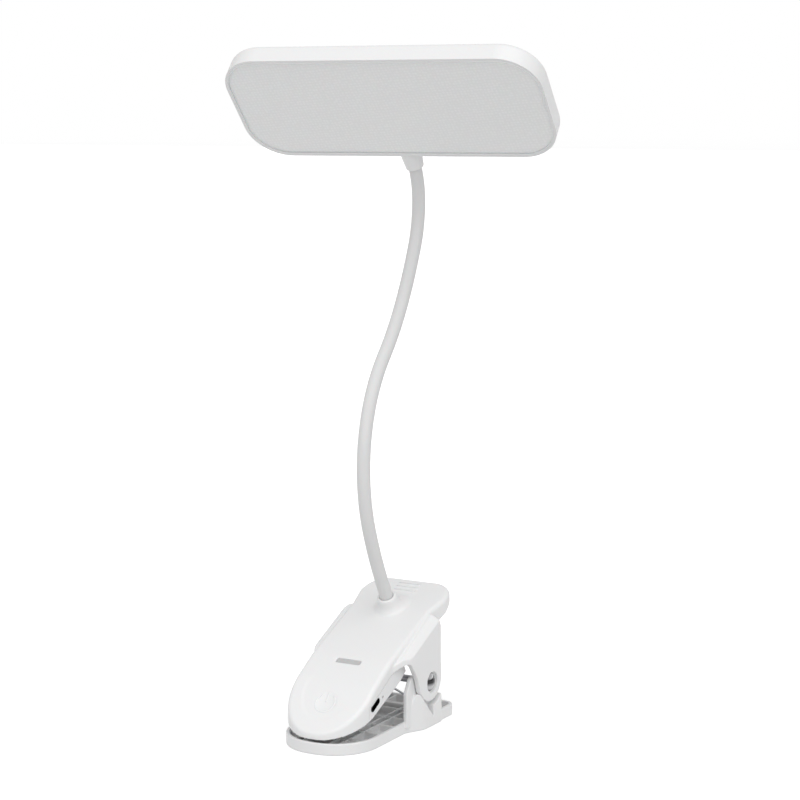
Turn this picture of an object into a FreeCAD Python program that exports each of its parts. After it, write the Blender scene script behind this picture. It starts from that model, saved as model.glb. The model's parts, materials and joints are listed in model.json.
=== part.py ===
"""Clip-on reading lamp: a sprung clip, a bendable neck and a wide LED head.

Frame: the origin is the centre of the lower jaw's flat underside. +Y runs from
the jaw's mouth to its press tail, +X is the side with the charging socket and
+Z is up. Sizes are millimetres and degrees, and all of them come from the
spreadsheet called Sizes.
"""

import FreeCAD, Part
import math
import os

import Sketcher

Vector = FreeCAD.Vector
Rotation = FreeCAD.Rotation
Placement = FreeCAD.Placement

SIZES = {
    # lower jaw: a ribbed tray that lies flat, with two ears
    "tray_half_width": 25.2,
    "tray_front": 52.4,
    "tray_back": 51.8,
    "tray_front_radius": 24,
    "tray_rim": 6,
    "tray_wall": 2,
    "tray_floor": 1.4,
    "flare_half_width": 31,
    "flare_start": 3,
    "flare_end": 14,
    "tail_half_width": 30,
    "tail_start": 32.5,
    "tail_radius": 7,
    "rib_thickness": 1.2,
    "rib_top": 5,
    "inner_rib_place": 7.5,
    "outer_rib_place": 12.4,
    "cross_rib_pitch": 15.5,
    "cross_rib_front": 34.5,
    # hinge
    "pin_place": 24,
    "pin_height": 23.6,
    "pin_radius": 2,
    "pin_fit": 0.05,
    "cap_radius": 5.2,
    "cap_dome": 2.2,
    "cap_recess_radius": 5.6,
    "cap_recess_depth": 1.6,
    "ear_outer": 30,
    "ear_thickness": 3,
    "ear_gap": 0.35,
    "ear_radius": 12,
    "lower_ear_thickness": 2.4,
    "lower_ear_top": 29.5,
    "heel_height": 20.2,
    "spring_radius": 5,
    "spring_wire": 1.3,
    "spring_turns": 6,
    "spring_pitch": 1.7,
    "spring_end": 45,
    "spring_top": 55.7,
    # upper jaw
    "shell_half_width": 24.3,
    "shell_wall": 2,
    "nose": 51.5,
    "nose_low": 8.8,
    "nose_top": 10.4,
    "brow_place": 27.5,
    "brow_height": 31.6,
    "knee_place": 10.7,
    "knee_height": 41.7,
    "crest_place": 31,
    "crest_height": 60,
    "shell_back": 59.5,
    "shell_back_height": 70.4,
    "tail_edge": 5.2,
    "belly_place": 34,
    "belly_height": 50.5,
    "seam_place": 32,
    "seam_height": 22.3,
    "arch_place": 5,
    "arch_height": 37,
    "kink_place": 4,
    "kink_height": 37.6,
    "heel_place": 11.2,
    "heel_slope": 50.3,
    "ear_back": 33.6,
    "flare_front": 10,
    "shoulder_slope": 25.6,
    "shoulder_crease": 46.2,
    "shoulder_edge": 40.5,
    "shoulder_inset": 23.2,
    "press_half_width": 27,
    "press_place": 45,
    "mouth_tip_height": 7,
    "mouth_back_height": 29.4,
    "cover_wall": 1.8,
    "seam_gap": 0.15,
    "boss_radius": 5.3,
    "boss_rim": 7.5,
    "boss_waist": 14.2,
    "boss_waist_radius": 6.6,
    "boss_foot": 18.2,
    "boss_foot_radius": 15,
    # charging socket, window and other details of the upper jaw
    "port_place": 26.4,
    "port_height": 22.6,
    "port_width": 9.4,
    "port_thickness": 3.4,
    "port_slope": 28.6,
    "jaw_slope": 31,
    "brow_slope": 41.5,
    "press_slope": 20.7,
    "edge_radius": 2.5,
    "dish_radius": 34,
    "window_place": 13.7,
    "window_length": 14.5,
    "window_width": 3.2,
    "window_corner": 0.5,
    "window_recess": 0.5,
    "symbol_place": 36.8,
    "ridge_place": 46.7,
    "ridge_pitch": 3.15,
    "ridge_length": 13,
    # pieces inside the upper jaw
    "board_place": 24.25,
    "board_height": 21.43,
    "board_slope": 24,
    "control_board_thickness": 0.6,
    "control_board_width": 40,
    "control_board_length": 41,
    "socket_depth": 7.2,
    "window_depth": 2.6,
    "light_place": 4,
    "light_pipe": 9,
    "light_board_place": 17.7,
    "touch_radius": 3.5,
    "touch_wire": 1.1,
    "touch_rise": 1.8,
    "touch_turns": 1.5,
    "touch_board_place": -15,
    "battery_place": 18,
    "battery_height": 46.4,
    "battery_slope": 23.3,
    "battery_width": 38,
    "battery_length": 20,
    "battery_thickness": 3.2,
    "grip_place": 33,
    "grip_width": 36,
    "grip_length": 26,
    "grip_thickness": 1,
    # neck: eight tangent arcs, each with a length and the angle it turns
    "neck_radius": 3.6,
    "neck_bore": 2.5,
    "core_radius": 2.45,
    "core_bore": 1.3,
    "lead_radius": 1.2,
    "ball_gap": 0.3,
    "neck_start_place": 23,
    "neck_start_height": 73.5,
    "neck_start_lean": -28.8,
    "neck_root": 12,
    "neck_end": 9.6,
    "neck_length_1": 34,
    "neck_length_2": 33,
    "neck_length_3": 33,
    "neck_length_4": 33,
    "neck_length_5": 33,
    "neck_length_6": 33,
    "neck_length_7": 27,
    "neck_length_8": 21,
    "neck_bend_1": 8.4,
    "neck_bend_2": 18.8,
    "neck_bend_3": 20.6,
    "neck_bend_4": 22.9,
    "neck_bend_5": -12.2,
    "neck_bend_6": -8.1,
    "neck_bend_7": -23.5,
    "neck_bend_8": -29.1,
    "ferrule_length": 11,
    "nut_place": 22,
    "nut_thickness": 3,
    "nut_radius": 6,
    # head
    "head_width": 176,
    "head_depth": 72,
    "head_radius": 21.8,
    "head_thickness": 12.4,
    "head_wall": 1.8,
    "head_tilt": 43.4,
    "head_turn": 7.6,
    "head_reach": 8.2,
    "head_back_radius": 3.5,
    "diffuser_thickness": 1.6,
    "diffuser_recess": 0.7,
    "diffuser_ledge": 1.6,
    "part_gap": 0.2,
    "board_thickness": 1.2,
    "led_board_width": 156,
    "led_board_depth": 52,
    "led_columns": 12,
    "led_rows": 3,
    "led_pitch": 12.4,
    "led_row_pitch": 16,
    "led_width": 3.5,
    "led_depth": 2.8,
    "led_thickness": 0.8,
    "collar_lip_radius": 4.9,
    "collar_top_radius": 6.2,
    "collar_length": 13,
    "collar_lip": 3.7,
    "collar_gap": 0.35,
}

doc = FreeCAD.newDocument("reading_lamp")


class Size:
    """A number that remembers the spreadsheet formula it was worked out from."""

    def __init__(self, number, formula):
        self.number = number
        self.formula = formula

    @staticmethod
    def of(thing):
        return thing if isinstance(thing, Size) else Size(float(thing), repr(thing))

    def __add__(self, other):
        other = Size.of(other)
        return Size(self.number + other.number, f"({self.formula} + {other.formula})")

    def __sub__(self, other):
        other = Size.of(other)
        return Size(self.number - other.number, f"({self.formula} - {other.formula})")

    def __mul__(self, other):
        other = Size.of(other)
        return Size(self.number * other.number, f"({self.formula} * {other.formula})")

    def __truediv__(self, other):
        other = Size.of(other)
        return Size(self.number / other.number, f"({self.formula} / {other.formula})")

    def __neg__(self):
        return Size(-self.number, f"(-1 * {self.formula})")

    def __radd__(self, other):
        return Size.of(other) + self

    def __rsub__(self, other):
        return Size.of(other) - self

    def __rmul__(self, other):
        return Size.of(other) * self

    def __float__(self):
        return float(self.number)

    def tangent(self):
        return Size(math.tan(math.radians(self.number)), f"tan({self.formula})")


def make_sheet():
    sheet = doc.addObject("Spreadsheet::Sheet", "Sizes")
    for row, (name, number) in enumerate(SIZES.items(), start=1):
        sheet.set(f"A{row}", name)
        sheet.set(f"B{row}", str(number))
        sheet.setAlias(f"B{row}", name)
    doc.recompute()


def size(name):
    return Size(float(doc.Sizes.get(name)), f"Sizes.{name}")


def bind(thing, name, amount):
    """Drive one property of a document object by a formula of the sheet."""
    thing.setExpression(name, Size.of(amount).formula)


def sine(degrees):
    return math.sin(math.radians(float(degrees)))


def cosine(degrees):
    return math.cos(math.radians(float(degrees)))


# ---------------------------------------------------------------- sketches


def new_body(name):
    body = doc.addObject("PartDesign::Body", name)
    body.Label = name
    return body


def new_sketch(body, role):
    sketch = body.newObject("Sketcher::SketchObject", f"{body.Name}_sketch")
    plane = [item for item in body.Origin.OriginFeatures if item.Role == role][0]
    sketch.AttachmentSupport = [(plane, "")]
    sketch.MapMode = "FlatFace"
    return sketch


def hold(sketch, name, number, *constraint):
    """Add one dimension to a sketch and bind it to its formula."""
    amount = Size.of(number)
    index = sketch.addConstraint(Sketcher.Constraint(*constraint, amount.number))
    label = f"{name}_{index}"
    sketch.renameConstraint(index, label)
    bind(sketch, f"Constraints.{label}", amount)


def outline(sketch, corners):
    """Draw a closed outline of straight runs; a corner is (x, y) or (x, y, rounding)."""
    corners = [(*corner, None)[:3] for corner in corners]
    places = [Vector(float(x), float(y), 0) for x, y, _ in corners]
    leave, arrive, arcs = [], [], []
    for index, (_, _, rounding) in enumerate(corners):
        here = places[index]
        back = (places[index - 1] - here).normalize()
        onward = (places[(index + 1) % len(places)] - here).normalize()
        if rounding is None:
            arrive.append(here)
            leave.append(here)
            arcs.append(None)
            continue
        half = back.getAngle(onward) / 2
        reach = float(rounding) / math.tan(half)
        centre = here + (back + onward).normalize() * (float(rounding) / math.sin(half))
        first, last = here + back * reach, here + onward * reach
        turns_left = back.cross(onward).z < 0
        arrive.append(first)
        leave.append(last)
        ends = (first, last) if turns_left else (last, first)
        angles = [math.atan2((end - centre).y, (end - centre).x) for end in ends]
        circle = Part.Circle(centre, Vector(0, 0, 1), float(rounding))
        arc = sketch.addGeometry(Part.ArcOfCircle(circle, *angles))
        arcs.append((arc, 1 if turns_left else 2))
    lines = []
    for index in range(len(places)):
        after = (index + 1) % len(places)
        lines.append(sketch.addGeometry(Part.LineSegment(leave[index], arrive[after])))
    for index, (x, y, rounding) in enumerate(corners):
        before, after = lines[index - 1], lines[index]
        if rounding is None:
            sketch.addConstraint(Sketcher.Constraint("Coincident", before, 2, after, 1))
            held = after
        else:
            arc, entry = arcs[index]
            sketch.addConstraint(Sketcher.Constraint("Tangent", before, 2, arc, entry))
            sketch.addConstraint(Sketcher.Constraint("Tangent", after, 1, arc, 3 - entry))
            hold(sketch, "rounding", rounding, "Radius", arc)
            held = sketch.addGeometry(Part.Point(places[index]), True)
            sketch.addConstraint(Sketcher.Constraint("PointOnObject", held, 1, before))
            sketch.addConstraint(Sketcher.Constraint("PointOnObject", held, 1, after))
        hold(sketch, "across", x, "DistanceX", -1, 1, held, 1)
        hold(sketch, "along", y, "DistanceY", -1, 1, held, 1)


def mirrored(corners):
    """Complete a right-hand half outline with its mirror image in the Y axis."""
    half = [(*corner, None)[:3] for corner in corners]
    return half + [(-Size.of(x), y, rounding) for x, y, rounding in reversed(half)]


def rectangle(sketch, left, low, right, high, rounding=None):
    places = [(left, low), (right, low), (right, high), (left, high)]
    outline(sketch, [(x, y, rounding) for x, y in places])


def circle(sketch, x, y, radius):
    ring = Part.Circle(Vector(float(x), float(y), 0), Vector(0, 0, 1), float(radius))
    index = sketch.addGeometry(ring)
    hold(sketch, "radius", radius, "Radius", index)
    hold(sketch, "across", x, "DistanceX", -1, 1, index, 3)
    hold(sketch, "along", y, "DistanceY", -1, 1, index, 3)


# ---------------------------------------------------------------- features


def pad(body, sketch, length, symmetric=False, backwards=False):
    feature = body.newObject("PartDesign::Pad", f"{body.Name}_pad")
    feature.Profile = sketch
    bind(feature, "Length", length)
    feature.SideType = "Symmetric" if symmetric else "One side"
    feature.Reversed = backwards
    doc.recompute()
    return feature


def pocket(body, sketch, length, symmetric=True, backwards=False, along=None):
    """Cut a profile out of a body, and insist that it did cut something."""
    before = body.Shape.Volume
    feature = body.newObject("PartDesign::Pocket", f"{body.Name}_pocket")
    feature.Profile = sketch
    bind(feature, "Length", length)
    feature.SideType = "Symmetric" if symmetric else "One side"
    feature.Reversed = backwards
    if along is not None:
        feature.UseCustomVector = True
        feature.Direction = along
    doc.recompute()
    if not body.Shape.Volume < before - 0.01:
        raise RuntimeError(f"{feature.Name} cuts nothing")
    return feature


def trim(body, corners):
    """Keep only what lies inside an outline seen from above."""
    sketch = new_sketch(body, "XY_Plane")
    reach = size("head_width")
    rectangle(sketch, -reach, -reach, reach, reach)
    outline(sketch, corners)
    return pocket(body, sketch, reach * 4)


def rim_of_top(shape, edge):
    """True for an edge between an upward face and an upright one."""
    middle = edge.valueAt((edge.FirstParameter + edge.LastParameter) / 2)
    rises = []
    for face in shape.ancestorsOfType(edge, Part.Face):
        rises.append(face.normalAt(*face.Surface.parameter(middle)).z)
    return max(rises) > 0.6 and min(abs(rise) for rise in rises) < 0.1


def fillet(body, feature, radius, wanted):
    shape = feature.Shape
    edges = [
        f"Edge{index}"
        for index, edge in enumerate(shape.Edges, start=1)
        if wanted(shape, edge)
    ]
    rounding = body.newObject("PartDesign::Fillet", f"{body.Name}_fillet")
    rounding.Base = (feature, edges)
    bind(rounding, "Radius", radius)
    doc.recompute()
    return rounding


def revolve(body, sketch, axis, angle=360, backwards=False):
    feature = body.newObject("PartDesign::Revolution", f"{body.Name}_turned")
    feature.Profile = sketch
    feature.ReferenceAxis = axis
    bind(feature, "Angle", angle)
    feature.Reversed = backwards
    doc.recompute()
    return feature


def cut(name, base, *tools):
    """Subtract shapes one after another; the last result carries the name."""
    for index, tool in enumerate(tools, start=1):
        result = doc.addObject("Part::Cut", f"{name}_cut_{index}")
        result.Base = base
        result.Tool = tool
        base = result
    base.Label = name
    doc.recompute()
    return base


def fuse(name, *pieces):
    result = doc.addObject("Part::MultiFuse", f"{name}_fused")
    result.Shapes = list(pieces)
    result.Label = name
    doc.recompute()
    return result


def group(name, shapes):
    """Identical small pieces kept together as separate solids of one node."""
    feature = doc.addObject("Part::Feature", name)
    feature.Shape = Part.makeCompound(shapes)
    feature.Label = name
    return feature


def ball(name, place, radius):
    sphere = doc.addObject("Part::Sphere", name)
    bind(sphere, "Radius", radius)
    sphere.Placement = Placement(place, Rotation())
    return sphere


def rod(name, placement, radius, length):
    """A round bar that starts at a placement and runs along its Z axis."""
    bar = doc.addObject("Part::Cylinder", name)
    bind(bar, "Radius", radius)
    bind(bar, "Height", length)
    bar.Label = name
    bar.Placement = placement
    return bar


def turned_about_x(y, z, degrees, x=0):
    """A placement at (x, y, z), leaned over about the X axis."""
    return Placement(Vector(float(x), float(y), float(z)), Rotation(Vector(1, 0, 0), float(degrees)))


make_sheet()


# ---------------------------------------------------------------- lower jaw

PIN_Y = size("pin_place")
PIN_Z = size("pin_height")
EAR_OUTER = size("ear_outer")
LOWER_EAR_OUTER = EAR_OUTER - size("ear_thickness") - size("ear_gap")
LOWER_EAR_INNER = LOWER_EAR_OUTER - size("lower_ear_thickness")


def lift(sketch, height):
    """Raise a sketch above the plane it is attached to."""
    sketch.AttachmentOffset = Placement(Vector(0, 0, float(height)), Rotation())
    bind(sketch, "AttachmentOffset.Base.z", height)


def build_lower_jaw():
    """The ribbed tray, with the outer ear steps flush with the upper ears."""
    body = new_body("lower_jaw")
    half = size("tray_half_width")
    front = -size("tray_front")
    back = size("tray_back")
    flare = size("flare_half_width")
    tail = size("tail_half_width")
    tail_start = size("tail_start")
    wall = size("tray_wall")
    rim = size("tray_rim")
    floor = size("tray_floor")

    plan_corners = mirrored([
        (half, front, size("tray_front_radius")),
        (half, size("flare_start"), 10),
        (flare, size("flare_end"), 10),
        (flare, tail_start),
        (tail, tail_start + 1.6),
        (tail, back, size("tail_radius")),
    ])
    plan = new_sketch(body, "XY_Plane")
    outline(plan, plan_corners)
    pad(body, plan, rim)

    heel_y = size("heel_place")
    heel = size("heel_height") - size("ear_gap")
    steps = new_sketch(body, "YZ_Plane")
    outline(steps, [
        (3.5, rim - 3),
        (size("ear_back"), rim - 3),
        (size("ear_back"), 15.6),
        (PIN_Y, heel),
        (8.8, heel, 0.6),
        (7, 15.5, 6),
        (3.5, rim + 0.5),
    ])
    pad(body, steps, flare * 2, symmetric=True)
    clearance = new_sketch(body, "YZ_Plane")
    circle(clearance, PIN_Y, PIN_Z, size("ear_radius") + size("ear_gap"))
    pocket(body, clearance, flare * 2)
    slope = new_sketch(body, "YZ_Plane")
    toe_z = heel - (PIN_Y - heel_y) * size("heel_slope").tangent()
    outline(slope, [
        (heel_y, heel + 1),
        (heel_y, heel),
        (PIN_Y, toe_z),
        (PIN_Y, heel + 1),
    ])
    pocket(body, slope, flare * 2)
    trim(body, plan_corners)
    draft = new_sketch(body, "XZ_Plane")
    for side in (1, -1):
        outline(draft, [
            (flare * side, rim),
            ((flare + 1) * side, rim),
            ((flare + 1) * side, heel + 1),
            (EAR_OUTER * side, heel + 1),
        ])
    pocket(body, draft, 200)

    ears = new_sketch(body, "YZ_Plane")
    top = size("lower_ear_top")
    outline(ears, [
        (1.8, rim - 3),
        (33, rim - 3),
        (33, top - 4),
        (29, top, 5),
        (6.5, top, 3),
        (1.8, top - 8),
    ])
    pad(body, ears, LOWER_EAR_OUTER * 2, symmetric=True)
    between = new_sketch(body, "YZ_Plane")
    rectangle(between, -10, rim, 40, top + 10)
    pocket(body, between, LOWER_EAR_INNER * 2)

    basin = new_sketch(body, "XY_Plane")
    lift(basin, floor)
    inner = half - wall
    outline(basin, mirrored([
        (inner, front + wall, size("tray_front_radius") - wall),
        (inner, tail_start),
    ]))
    pocket(body, basin, rim * 2, symmetric=False, backwards=True)
    tail_basin = new_sketch(body, "XY_Plane")
    lift(tail_basin, floor)
    outline(tail_basin, mirrored([
        (tail - wall, tail_start + 3.5, 2),
        (tail - wall, back - wall, size("tail_radius") - wall),
    ]))
    pocket(body, tail_basin, rim * 2, symmetric=False, backwards=True)

    thickness = size("rib_thickness")
    rib_depth = size("rib_top") - floor / 2
    long_ribs = new_sketch(body, "XY_Plane")
    lift(long_ribs, floor / 2)
    for name in ("inner_rib_place", "outer_rib_place"):
        for side in (-1, 1):
            place = size(name) * side
            rectangle(long_ribs, place - thickness / 2, -46, place + thickness / 2, back - 1)
    pad(body, long_ribs, rib_depth)
    cross_ribs = new_sketch(body, "XY_Plane")
    lift(cross_ribs, floor / 2)
    for index in range(5):
        place = size("cross_rib_pitch") * index - size("cross_rib_front")
        reach = half - wall / 2 if index < 4 else half - 0.4
        rectangle(cross_ribs, -reach, place - thickness / 2, reach, place + thickness / 2)
    pad(body, cross_ribs, rib_depth)

    hole = new_sketch(body, "YZ_Plane")
    circle(hole, PIN_Y, PIN_Z, size("pin_radius") + size("pin_fit"))
    pocket(body, hole, EAR_OUTER * 2)
    return body


# ---------------------------------------------------------------- hinge


def build_pin():
    """The steel hinge pin and the two domed heads riveted on its ends."""
    length = (EAR_OUTER - size("cap_recess_depth")) * 2
    across = Rotation(Vector(0, 1, 0), 90)
    start = Vector(-float(length) / 2, float(PIN_Y), float(PIN_Z))
    pin = rod("hinge_pin", Placement(start, across), size("pin_radius"), length)
    radius = size("cap_radius")
    dome = size("cap_dome")
    sphere_radius = (radius * radius + dome * dome) / (dome * 2)
    caps = []
    for side, turn in (("right", 90), ("left", -90)):
        direction = Rotation(Vector(0, 1, 0), turn)
        outward = direction.multVec(Vector(0, 0, 1))
        seat = Vector(0, float(PIN_Y), float(PIN_Z)) + outward * (float(length) / 2)
        centre = seat - outward * float(sphere_radius - dome)
        sphere = ball(f"cap_{side}_dome", centre, sphere_radius)
        disc = rod(f"cap_{side}_disc", Placement(seat, direction), radius, dome)
        cap = doc.addObject("Part::MultiCommon", f"cap_{side}")
        cap.Shapes = [sphere, disc]
        cap.Label = f"pin_cap_{side}"
        caps.append(cap)
    doc.recompute()
    return [pin, *caps]


def coil_along(helix, wire):
    """A round wire swept along a helix, starting square to it."""
    first = helix.Edges[0]
    heading = first.tangentAt(first.FirstParameter)
    profile = Part.Wire([Part.makeCircle(wire / 2, first.Vertexes[0].Point, heading)])
    coil = Part.Wire(helix.Edges).makePipeShell([profile], True, True)
    if coil.Volume < 0:
        coil.reverse()
    return coil


def build_spring():
    """A torsion spring on the pin; its arms push the two press tails apart."""
    radius = float(size("spring_radius"))
    wire = float(size("spring_wire"))
    turns = int(float(size("spring_turns")))
    centre = Vector(0, float(PIN_Y), float(PIN_Z))
    lower_end = Vector(0, float(size("spring_end")), float(size("rib_top")) + wire)
    upper_end = Vector(0, float(size("spring_end")), float(size("spring_top")))

    def run_off(end, side):
        """Angle on the coil at which a straight arm from one end touches it."""
        away = end - centre
        return math.atan2(-away.z, away.y) + side * math.acos(radius / away.Length)

    first = run_off(lower_end, 1)
    last = run_off(upper_end, -1)
    sweep = (last - first) % (2 * math.pi) + 2 * math.pi * (turns - 1)
    length = float(size("spring_pitch")) * sweep / (2 * math.pi)
    helix = Part.makeHelix(float(size("spring_pitch")), length, radius)
    helix.Placement = Placement(Vector(), Rotation(Vector(0, 0, 1), math.degrees(first)))
    across = Rotation(Vector(0, 1, 0), Vector(0, 0, -1), Vector(-1, 0, 0), "ZXY")
    helix.Placement = Placement(centre + Vector(length / 2, 0, 0), across) * helix.Placement
    start = helix.Edges[0].Vertexes[0].Point
    finish = helix.Edges[-1].Vertexes[-1].Point
    coil = coil_along(helix, wire)
    for joint, end in ((start, lower_end), (finish, upper_end)):
        run = Vector(joint.x, end.y, end.z) - joint
        coil = coil.fuse(Part.makeCylinder(wire * 0.498, run.Length, joint, run))
    feature = doc.addObject("Part::Feature", "torsion_spring")
    feature.Shape = coil
    feature.Label = "torsion_spring"
    return feature


# ---------------------------------------------------------------- upper jaw


def slab(name, placement, width, depth, thickness, rounding=None):
    """A plate centred on a placement, with its thickness along local Z."""
    body = new_body(name)
    sketch = new_sketch(body, "XY_Plane")
    rectangle(sketch, -width / 2, -depth / 2, width / 2, depth / 2, rounding)
    pad(body, sketch, thickness)
    body.Placement = placement
    return body


def on_slope(y, z, degrees, lift_by=0, x=0):
    """A placement leaned about X and raised along its own normal."""
    base = turned_about_x(y, z, degrees, x)
    return base * Placement(Vector(0, 0, float(lift_by)), Rotation())


def neck_frame(y, z, lean, along=0):
    """A placement whose Z axis runs along the neck, moved along that axis."""
    return on_slope(y, z, -float(lean), along)


NOSE = -size("nose")
SEAM = (-size("seam_place"), size("seam_height"))
ARCH = (-size("arch_place"), size("arch_height"))
KINK = (size("kink_place"), size("kink_height"))
FLOOR_SLOPE = (size("mouth_back_height") - size("mouth_tip_height")) / (size("nose") - 1.1)
BELLY = (size("belly_place"), size("belly_height"))
BACK = size("shell_back")
BACK_LOW = size("shell_back_height") - size("tail_edge")
NECK_START = (size("neck_start_place"), size("neck_start_height"))
NECK_LEAN = size("neck_start_lean")
WALL = size("shell_wall")
SHELL_HALF = size("shell_half_width")


def build_boss():
    """The flared boss that carries the neck, standing on the shell."""
    boss = new_body("boss")
    sketch = new_sketch(boss, "XZ_Plane")
    outline(sketch, [
        (0, -size("boss_foot") - 3),
        (size("boss_foot_radius"), -size("boss_foot") - 3),
        (size("boss_foot_radius"), -size("boss_foot")),
        (size("boss_waist_radius"), -size("boss_waist"), 6),
        (size("boss_radius"), -size("boss_rim"), 0.8),
        (0, -size("boss_rim")),
    ])
    axis = [item for item in boss.Origin.OriginFeatures if item.Role == "Z_Axis"][0]
    revolve(boss, sketch, (axis, [""]))
    boss.Placement = neck_frame(*NECK_START, NECK_LEAN)
    return boss


def build_shell_solid():
    """The outside of the upper shell: jaw, press tail and the two hinge ears."""
    body = new_body("shell_solid")
    profile = new_sketch(body, "YZ_Plane")
    outline(profile, [
        (NOSE, size("mouth_tip_height") + 0.1),
        (NOSE, size("nose_top")),
        (-size("brow_place"), size("brow_height"), 40),
        (-size("knee_place"), size("knee_height"), 60),
        (size("crest_place"), size("crest_height"), 80),
        (BACK, size("shell_back_height")),
        (BACK, BACK_LOW),
        BELLY,
        KINK,
        ARCH,
        SEAM,
        (SEAM[0], size("mouth_back_height") + SEAM[0] * FLOOR_SLOPE + 0.1),
    ])
    pad(body, profile, size("press_half_width") * 2 + 2, symmetric=True)
    press = size("press_half_width")
    trim(body, mirrored([
        (SHELL_HALF, NOSE, SHELL_HALF - 1),
        (SHELL_HALF, size("belly_place") - 2, 6),
        (press, size("press_place"), 9),
        (press - 2.5, BACK, 13),
    ]))
    fillet(body, body.Tip, size("edge_radius"), rim_of_top)

    ears = new_sketch(body, "YZ_Plane")
    heel_y = size("heel_place")
    heel = size("heel_height")
    toe_y = PIN_Y + size("ear_radius")
    toe_z = heel - (toe_y - heel_y) * size("heel_slope").tangent()
    front_y = -size("flare_front")
    front_z = SEAM[1] + (front_y - SEAM[0]) * ((ARCH[1] - SEAM[1]) / (ARCH[0] - SEAM[0]))
    outline(ears, [
        (front_y, front_z + 0.4),
        (0.6, 39.4, 4),
        (8.4, 28, 12),
        (heel_y, heel, 0.8),
        (toe_y, toe_z, size("ear_radius")),
        (size("ear_back"), 40),
        (size("ear_back"), 53),
        (size("crest_place"), size("crest_height") - 1),
        (front_y, front_z + 4),
    ])
    pad(body, ears, EAR_OUTER * 2, symmetric=True)
    trim(body, mirrored([
        (SHELL_HALF, -60),
        (SHELL_HALF, front_y + 1, 10),
        (EAR_OUTER, 1.5, 10),
        (EAR_OUTER, 62),
    ]))
    between = new_sketch(body, "YZ_Plane")
    outline(between, [(-12, 8), ARCH, KINK, BELLY, (40, size("belly_height")), (40, 8)])
    pocket(body, between, (EAR_OUTER - size("ear_thickness")) * 2)

    inset = size("shoulder_inset")
    edge = size("ear_outer") + 1
    crease = size("shoulder_crease")
    fall = size("shoulder_edge") - 0.8
    slope = float(size("shoulder_slope"))
    along = Vector(0, cosine(slope), sine(slope))
    shoulders = new_sketch(body, "XZ_Plane")
    for side in (1, -1):
        outline(shoulders, [
            (inset * side, crease),
            (edge * side, fall),
            (edge * side, crease + 20),
            (inset * side, crease + 20),
        ])
    pocket(body, shoulders, 200, along=along)

    recess = new_sketch(body, "YZ_Plane")
    circle(recess, PIN_Y, PIN_Z, size("pin_radius") + size("pin_fit"))
    pocket(body, recess, EAR_OUTER * 2)
    return body


def build_recess(side):
    """The shallow round seat of one pin cap."""
    depth = size("cap_recess_depth")
    direction = Rotation(Vector(0, 1, 0), 90 * side)
    outward = direction.multVec(Vector(0, 0, 1))
    seat = Vector(0, float(PIN_Y), float(PIN_Z)) + outward * float(EAR_OUTER - depth)
    name = "recess_right" if side > 0 else "recess_left"
    return rod(name, Placement(seat, direction), size("cap_recess_radius"), depth + 1)


def build_shell_hollow():
    """The room inside the upper shell, open underneath."""
    body = new_body("shell_hollow")
    profile = new_sketch(body, "YZ_Plane")
    drop = WALL * 1.15
    outline(profile, [
        (NOSE + WALL, 0),
        (NOSE + WALL, size("nose_top") - 0.4, 1),
        (-size("brow_place") + 0.6, size("brow_height") - WALL * 1.4, 40),
        (-size("knee_place") + 0.4, size("knee_height") - drop, 60),
        (size("crest_place"), size("crest_height") - drop, 80),
        (BACK - WALL, size("shell_back_height") - WALL * 1.5),
        (BACK - WALL, 30),
        (PIN_Y, 30),
        (0, 0),
    ])
    half = size("press_half_width") - WALL
    pad(body, profile, half * 2, symmetric=True)
    inner = SHELL_HALF - WALL
    trim(body, mirrored([
        (inner, NOSE + WALL, inner - 1),
        (inner, size("belly_place") - 1, 6),
        (half, size("press_place"), 8),
        (half - 2.5, BACK - WALL, 11),
    ]))
    return body


def build_upper_shell():
    """One moulding: the jaw's top, the press tail, the ears and the boss."""
    slope = size("press_slope")
    ridges = []
    for index in range(3):
        place = size("ridge_place") + size("ridge_pitch") * index
        height = size("crest_height") + (place - size("crest_place")) * slope.tangent()
        where = on_slope(place, height, slope, -0.6)
        length = size("ridge_length")
        ridges.append(slab(f"ridge_{index + 1}", where, length, 0.9, 1, 0.4))
    solid = fuse("shell_with_boss", build_shell_solid(), build_boss(), *ridges)
    bore_place = neck_frame(*NECK_START, NECK_LEAN, -32)
    bore = rod("boss_bore", bore_place, size("neck_radius") + 0.1, 40)
    window = slab(
        "window_hole",
        window_place(-4),
        size("window_length"),
        size("window_width"),
        8,
        size("window_corner"),
    )
    touch_y = -size("symbol_place")
    dish_radius = size("dish_radius")
    dish_place = on_slope(touch_y, symbol_height(), size("brow_slope"), dish_radius - 0.7)
    dish = ball("thumb_dish", dish_place.Base, dish_radius)
    return cut(
        "upper_shell",
        solid,
        build_shell_hollow(),
        bore,
        window,
        dish,
        build_recess(1),
        build_recess(-1),
    )


def symbol_height():
    """Height of the shell's top under the touch symbol."""
    run = size("nose") - size("symbol_place")
    return size("nose_top") + run * size("brow_slope").tangent()


def window_place(lift_by):
    """The placement of the indicator window, on the slope of the jaw's top."""
    place = -size("window_place")
    height = size("brow_height") + (size("brow_place") - size("window_place")) * size("jaw_slope").tangent()
    return on_slope(place, height, size("jaw_slope"), lift_by)


def cover_layer(name, profile, half, front, start=None):
    """A profile padded to a width with a round front end, or cut off square at a start."""
    body = new_body(name)
    side = new_sketch(body, "YZ_Plane")
    outline(side, profile)
    pad(body, side, half * 2, symmetric=True)
    trim(body, mirrored([(half, front, half - 1), (half, 40)]))
    if start is not None:
        trim(body, mirrored([(half + 1, start), (half + 1, 40)]))
    return body


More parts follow.
